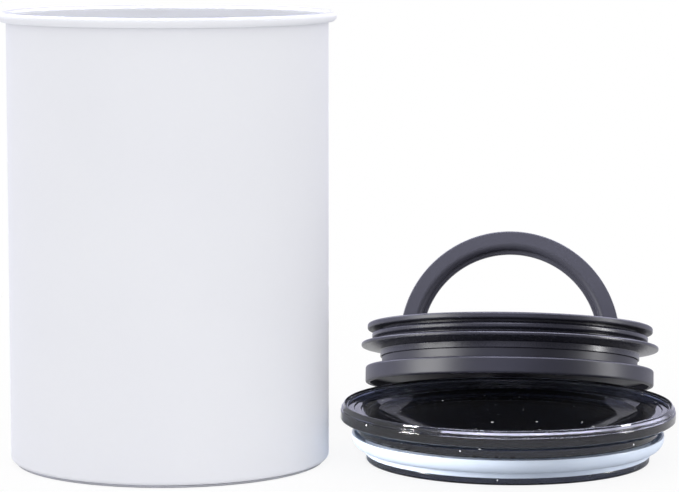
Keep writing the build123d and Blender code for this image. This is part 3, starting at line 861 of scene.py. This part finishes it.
sleeve_radius = SKIRT_RADIUS + GASKET_SLEEVE
lip_root = (sleeve_radius, FOOT_RING + LIP_ROOT_RISE)
lip_tip = (LIP_TIP_RADIUS, NECK_BOTTOM - LIP_TIP_DROP)
lip_bulge = (
    sleeve_radius + (lip_tip[0] - sleeve_radius) * LIP_BULGE_SHARE,
    lip_tip[1] - (lip_tip[1] - lip_root[1]) * LIP_BULGE_SHARE)


def curve_through(first, middle, last, steps):
    """Plain corners along the arc that runs through three points of the section."""
    (ax, ay), (bx, by), (cx, cy) = first, middle, last
    twice_area = 2 * (ax * (by - cy) + bx * (cy - ay) + cx * (ay - by))
    squares = [x * x + y * y for x, y in (first, middle, last)]
    centre = Vector((
        (squares[0] * (by - cy) + squares[1] * (cy - ay) + squares[2] * (ay - by)) / twice_area,
        (squares[0] * (cx - bx) + squares[1] * (ax - cx) + squares[2] * (bx - ax)) / twice_area))
    start, end = Vector(first) - centre, Vector(last) - centre
    sweep = math.atan2(start.x * end.y - start.y * end.x, start.dot(end))
    return [
        (*(centre + Matrix.Rotation(sweep * step / steps, 2) @ start), 0)
        for step in range(steps + 1)]


gasket_section = rounded_outline(
    [(SKIRT_RADIUS + GASKET_GAP, FOOT_RING, 0), (sleeve_radius, FOOT_RING, SMALL_EDGE)]
    + curve_through(lip_root, lip_bulge, lip_tip, LIP_STEPS)
    + curve_through(
        (lip_tip[0] - GASKET_LIP, lip_tip[1]),
        (lip_bulge[0] - GASKET_LIP, lip_bulge[1] + GASKET_LIP),
        (lip_root[0], lip_root[1] + 2 * GASKET_LIP), LIP_STEPS)
    + [(sleeve_radius, NECK_BOTTOM, FINE_EDGE), (SKIRT_RADIUS + GASKET_GAP, NECK_BOTTOM, 0)])
gasket_mesh = faced_outwards(turned_mesh(gasket_section, MILKY_SILICONE, steps=GASKET_STEPS))
place_piece(
    "outer_lid_seal", gasket_mesh, Matrix.Translation(lid_centre), OUTER_LID_BODY,
    "outer_lid_gasket")

# %% [markdown]
# The inner lid leans on the outer one, so its pieces are turned upright and then moved into its
# pose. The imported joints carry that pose: the valve travels along the lid's own axis, and the
# handle's hinge gives the sideways direction and one point. The lid's origin is found by going
# back down the axis from the hinge.

# %% Pose of the inner lid
INNER_LID_BODY = "inner_lid"
PIVOT_HEIGHT = 18.3

joints = {joint["name"]: joint for joint in frame["joints"]}
lid_up = Vector(joints["valve_travel"]["axis"]).normalized()
lid_side = Vector(joints["handle_fold"]["axis"]).normalized()
lid_back = lid_up.cross(lid_side)
pivot = Vector(joints["handle_fold"]["pos_m"])


def pose_from(x_axis, y_axis, z_axis, origin):
    """The matrix that moves a mesh from upright at the origin to these axes and this place."""
    pose = Matrix((x_axis, y_axis, z_axis)).transposed().to_4x4()
    pose.translation = origin
    return pose


inner_lid_pose = pose_from(lid_side, lid_back, lid_up, pivot - lid_up * PIVOT_HEIGHT * MM)
handle_pose = pose_from(lid_side, lid_up, -lid_back, pivot)
crossbar_pose = pose_from(lid_back, lid_up, lid_side, pivot)
print("lean", round(math.degrees(lid_up.angle(Vector((0, 0, 1)))), 2), "degrees")

# %% [markdown]
# The plunger is moulded in black polypropylene. The mould was lightly blasted, so the plastic has a
# fine grain and a satin sheen: lights show on it as wide soft streaks. The same finish serves the
# body, the band, the cover and the valve's hard pieces. The handle takes a lighter copy of the same
# black, which is painted light for the brighter light on its face. The real grain is about 0.1 mm.
# It is drawn at 0.5 mm, because a finer one would vanish in the render. Black silicone is the same
# tree with a weaker grain and more gloss.

# %% Satin black plastic and black silicone
GRAIN = 0.5
GRAIN_DEPTH = 0.02
TONE_CLOUD = 24.0


def black_moulding(name, tones, roughness, grain_strength, gloss):
    """A black moulded surface with a fine grain, between two tones and two roughnesses."""
    material, tree, place = start_material(name)
    grain = add_node(
        tree, "ShaderNodeTexNoise",
        {"Vector": place, "Scale": pattern_scale(GRAIN), "Detail": 2.0, "Roughness": 0.6})
    cloud = add_node(
        tree, "ShaderNodeTexNoise",
        {"Vector": place, "Scale": pattern_scale(TONE_CLOUD), "Detail": 2.0})
    tone = add_node(
        tree, "ShaderNodeMix",
        {"Factor": cloud.outputs["Fac"], "A": linear_colour(tones[0]),
         "B": linear_colour(tones[1])}, data_type="RGBA")
    sheen = add_node(
        tree, "ShaderNodeMapRange",
        {"Value": grain.outputs["Fac"], "From Min": 0.25, "From Max": 0.75,
         "To Min": roughness[0], "To Max": roughness[1]})
    relief = add_node(
        tree, "ShaderNodeBump",
        {"Height": grain.outputs["Fac"], "Strength": grain_strength,
         "Distance": GRAIN_DEPTH * MM})
    surface = add_node(
        tree, "ShaderNodeBsdfPrincipled",
        {"Base Color": tone.outputs["Result"], "Roughness": sheen.outputs["Result"],
         "IOR": 1.49, "Specular IOR Level": gloss, "Normal": relief.outputs["Normal"]})
    return finish_material(material, surface.outputs[0])


BLACK_PLASTIC = black_moulding(
    "satin black polypropylene", ("#1F1F27", "#24242D"), (0.34, 0.44), 0.15, 0.32)
# A lighter copy of the black plastic: painted light for the brighter light on the handle's face.
LIT_HANDLE_PLASTIC = black_moulding(
    "black polypropylene lightened for painted light", ("#34343C", "#3A3A43"), (0.36, 0.46), 0.15, 0.32)
BLACK_SILICONE = black_moulding(
    "black silicone rubber", ("#1A1A22", "#1F1F28"), (0.24, 0.32), 0.05, 0.45)
VALVE_SILICONE = black_moulding(
    "grey silicone rubber", ("#3C3E42", "#43454A"), (0.4, 0.5), 0.1, 0.5)

# %% [markdown]
# The plunger's body is one moulding: a well with a vent hole in its floor, a flange on top, a groove
# for the wiper seal and a neck that carries the band. Its section is turned like the others. Two
# round bosses stand inside the well and hold the handle's pins. They are turned upright, laid over
# and joined to the body, so the piece stays one mesh as it is one moulding.

# %% Plunger body
FLOOR_HEIGHT = 11.5
FLOOR_TOP = 13.3
VENT_HOLE = 6.0
WELL_RADIUS = 48.5
WELL_CORNER = 1.5
WELL_MOUTH = 0.7
LID_HEIGHT = 24.3
LID_FLANGE_RADIUS = 58.5
LID_FLANGE_BOTTOM = 21.9
LID_FLANGE_EDGES = (0.8, 0.6)
GROOVE_RADIUS = 50.7
GROOVE_BOTTOM = 10.8
LID_NECK_RADIUS = 52.4
BAND_HEIGHT = 6.8
BOSS_RADIUS = 4.6
BOSS_FACE = 45.0
SMALL_STEPS = 64

body_section = rounded_outline([
    (VENT_HOLE, FLOOR_HEIGHT, FINE_EDGE),
    (VENT_HOLE, FLOOR_TOP, SMALL_EDGE),
    (WELL_RADIUS, FLOOR_TOP, WELL_CORNER),
    (WELL_RADIUS, LID_HEIGHT, WELL_MOUTH),
    (LID_FLANGE_RADIUS, LID_HEIGHT, LID_FLANGE_EDGES[0]),
    (LID_FLANGE_RADIUS, LID_FLANGE_BOTTOM, LID_FLANGE_EDGES[1]),
    (GROOVE_RADIUS, LID_FLANGE_BOTTOM, FINE_EDGE),
    (GROOVE_RADIUS, GROOVE_BOTTOM, 0),
    (LID_NECK_RADIUS, GROOVE_BOTTOM, NECK_ROUNDING),
    (LID_NECK_RADIUS, BAND_HEIGHT, 0),
    (WELL_RADIUS, BAND_HEIGHT, 0),
    (WELL_RADIUS, FLOOR_HEIGHT, SOFT_EDGE)])
body_mesh = faced_outwards(turned_mesh(body_section, BLACK_PLASTIC))
body_mesh.transform(inner_lid_pose)

boss_end = (WELL_RADIUS + GROOVE_RADIUS) / 2
bosses = []
for side in (-1, 1):
    boss = faced_outwards(turned_mesh(
        rounded_outline([
            (0, BOSS_FACE, 0), (BOSS_RADIUS, BOSS_FACE, SOFT_EDGE),
            (BOSS_RADIUS, boss_end, 0), (0, boss_end, 0)]),
        BLACK_PLASTIC, ring=False, steps=SMALL_STEPS))
    boss.transform(pose_from(lid_back * side, lid_up, lid_side * side, pivot))
    bosses.append(boss)
place_piece(
    "plunger_moulding", joined_mesh([body_mesh] + bosses), Matrix.Identity(4), INNER_LID_BODY,
    "plunger_body")

# %% [markdown]
# The wiper seal is a black silicone sleeve with two fins. The long lower fin tapers to a soft edge
# and bends as it wipes the canister's wall. Silicone is smoother than the plastic beside it, so the
# fins' edges carry thin glossy lines. The fins' heights are shares of the groove that the sleeve
# sits in, so they move with it.

# %% Wiper seal
SEAL_SLEEVE = 2.4
WIPER_REACH = 7.8
UPPER_REACH = 3.5
WIPER_ROOT_SHARE = 0.23
WIPER_TIP_SHARE = 0.37
WIPER_ROOT_TOP_SHARE = 0.6
UPPER_FIN_SHARE = 0.7
UPPER_FIN_TOP_SHARE = 0.88
UPPER_FIN_SLOPE = 0.45
WIPER_TIP = 1.4
FIN_EDGE = 0.6
UPPER_FIN_EDGE = 1.0

groove_height = LID_FLANGE_BOTTOM - GROOVE_BOTTOM
seal_radius = GROOVE_RADIUS + SEAL_SLEEVE
wiper_radius = seal_radius + WIPER_REACH
upper_radius = seal_radius + UPPER_REACH


def up_groove(share):
    """The height at this share of the groove."""
    return GROOVE_BOTTOM + groove_height * share


seal_section = rounded_outline([
    (GROOVE_RADIUS + GASKET_GAP, GROOVE_BOTTOM, 0),
    (seal_radius, GROOVE_BOTTOM, FINE_EDGE),
    (seal_radius, up_groove(WIPER_ROOT_SHARE), SOFT_EDGE),
    (wiper_radius, up_groove(WIPER_TIP_SHARE), FIN_EDGE),
    (wiper_radius, up_groove(WIPER_TIP_SHARE) + WIPER_TIP, FIN_EDGE),
    (seal_radius, up_groove(WIPER_ROOT_TOP_SHARE), SOFT_EDGE),
    (upper_radius, up_groove(UPPER_FIN_SHARE), FIN_EDGE),
    (upper_radius, up_groove(UPPER_FIN_TOP_SHARE), UPPER_FIN_EDGE),
    (seal_radius, up_groove(UPPER_FIN_TOP_SHARE) + UPPER_FIN_SLOPE, FINE_EDGE),
    (seal_radius, LID_FLANGE_BOTTOM, 0),
    (GROOVE_RADIUS + GASKET_GAP, LID_FLANGE_BOTTOM, 0)])
seal_mesh = faced_outwards(turned_mesh(seal_section, BLACK_SILICONE))
place_piece(
    "wiper_fins", seal_mesh, inner_lid_pose, INNER_LID_BODY, "wiper_seal")

# %% [markdown]
# The guide band is the wide ring under the neck that keeps the plunger straight in the canister. Its
# web reaches in under the well, and its outer edges are well rounded, so that they slide on the wall
# and don't scrape it. Those wide roundings soften the ends of the band's two bright streaks.

# %% Guide band
BAND_RADIUS = 59.0
BAND_WALL = 2.0
BAND_EDGE = 0.9

band_section = rounded_outline([
    (BAND_RADIUS, 0, BAND_EDGE),
    (BAND_RADIUS, BAND_HEIGHT, BAND_EDGE),
    (WELL_RADIUS, BAND_HEIGHT, 0),
    (WELL_RADIUS, BAND_HEIGHT - BAND_WALL, 0),
    (BAND_RADIUS - BAND_WALL, BAND_HEIGHT - BAND_WALL, SMALL_EDGE),
    (BAND_RADIUS - BAND_WALL, 0, SMALL_EDGE)])
band_mesh = faced_outwards(turned_mesh(band_section, BLACK_PLASTIC))
place_piece("guide_band", band_mesh, inner_lid_pose, INNER_LID_BODY, "guide_ring")

# %% [markdown]
# The handle is half of a ring on a crossbar. The same tree turns it, with half a turn instead of a
# whole one and its ends closed. Its inner edge has a step: a narrow ledge stands behind the front
# face. The crossbar is turned too, and the cam in its middle is a lobe whose distance from the
# pivot shrinks evenly with the angle, so that the valve moves evenly as the handle folds.

# %% Handle
HANDLE_BODY = "handle"
HANDLE_RADIUS = 45.1
HANDLE_FACE = 7.4
HANDLE_LEDGE = 1.6
HANDLE_DEPTH = 7.0
HANDLE_EDGE = 0.5
GRIP_ROUNDING = 2.4
LEDGE_CORNER = 0.25
FRONT_DEPTH = 3.8
ARCH_STEPS = 160
CROSSBAR_RADIUS = 3.8
CAM_WIDTH = 5.0
CAM_STEPS = 12
CAM_BACK_SHARE = 0.9
VALVE_LIFT = 2.5

handle_front = HANDLE_DEPTH / 2
face_radius = HANDLE_RADIUS - HANDLE_FACE
arch_section = rounded_outline([
    (face_radius, handle_front, GRIP_ROUNDING),
    (HANDLE_RADIUS, handle_front, HANDLE_EDGE),
    (HANDLE_RADIUS, -handle_front, HANDLE_EDGE),
    (face_radius - HANDLE_LEDGE, -handle_front, HANDLE_EDGE),
    (face_radius - HANDLE_LEDGE, handle_front - FRONT_DEPTH, SOFT_EDGE),
    (face_radius, handle_front - FRONT_DEPTH, LEDGE_CORNER)])
arch_mesh = faced_outwards(turned_mesh(arch_section, LIT_HANDLE_PLASTIC, steps=ARCH_STEPS, share=0.5))
arch_mesh.transform(handle_pose)
crossbar_mesh = faced_outwards(turned_mesh(
    rounded_outline([
        (0, -HANDLE_RADIUS, 0), (CROSSBAR_RADIUS, -HANDLE_RADIUS, SOFT_EDGE),
        (CROSSBAR_RADIUS, HANDLE_RADIUS, SOFT_EDGE), (0, HANDLE_RADIUS, 0)]),
    LIT_HANDLE_PLASTIC, ring=False, steps=SMALL_STEPS))
crossbar_mesh.transform(crossbar_pose)


def cam_lobe(finish):
    """A closed plate with the cam's outline, which turns with the crossbar."""
    quarter = math.pi / 2
    slope = VALVE_LIFT / quarter
    outline = []
    for step in range(CAM_STEPS + 1):
        turn = quarter * step / CAM_STEPS
        reach = CROSSBAR_RADIUS + VALVE_LIFT - slope * turn
        outline.append((
            reach * math.sin(turn) - slope * math.cos(turn),
            -reach * math.cos(turn) - slope * math.sin(turn)))
    outline += [(CROSSBAR_RADIUS, 0), (-CROSSBAR_RADIUS * CAM_BACK_SHARE, 0)]
    count = len(outline)
    mesh = bpy.data.meshes.new("cam")
    mesh.from_pydata(
        [(x * MM, y * MM, side * CAM_WIDTH / 2 * MM) for side in (-1, 1) for x, y in outline], [],
        [tuple(reversed(range(count))), tuple(range(count, 2 * count))]
        + [(index, (index + 1) % count, (index + 1) % count + count, index + count)
           for index in range(count)])
    mesh.materials.append(finish)
    return faced_outwards(mesh)


cam_mesh = cam_lobe(LIT_HANDLE_PLASTIC)
cam_mesh.transform(crossbar_pose)
place_piece(
    "handle_grip", joined_mesh([arch_mesh, crossbar_mesh, cam_mesh]), Matrix.Identity(4),
    HANDLE_BODY, "handle")

# %% [markdown]
# The other nodes are small, flat or hidden, and the CAD model has their right shape. They keep
# their own meshes and only take a finish. The base is a plain disc of brushed steel.

# %% Finishes of the nodes that stay
NODE_FINISHES = {
    "canister_base": BRUSHED_STEEL,
    "bottom_cover": BLACK_PLASTIC,
    "cover_screws": PLATED_STEEL,
    "pivot_pin_left": PLATED_STEEL,
    "pivot_pin_right": PLATED_STEEL,
    "valve_guide": BLACK_PLASTIC,
    "valve_spring": PLATED_STEEL,
    "valve_stem": BLACK_PLASTIC,
    "valve_disc": VALVE_SILICONE,
    "stem_clip": PLATED_STEEL,
}
for node, finish in NODE_FINISHES.items():
    mesh = frame["nodes"][node].data
    mesh.materials.clear()
    mesh.materials.append(finish)
print("nodes that keep their own mesh", len(NODE_FINISHES))

# %% [markdown]
# Now the pieces exist, so the side boxes can be linked to them. Light linking is a property of the
# lamp: one collection says what takes its light, and one says what casts its shadows. Both are the
# lids here. Without it the boxes would put a shine on the matt canister that the photograph lacks.

# %% Link the side boxes to the lids
lids = bpy.data.collections.new("lids")
for item in bpy.context.scene.objects:
    if item.type == "MESH" and not item.name.startswith(("studio", "canister")):
        lids.objects.link(item)
for name in ("left box", "right box"):
    soft_boxes[name].light_linking.receiver_collection = lids
    soft_boxes[name].light_linking.blocker_collection = lids
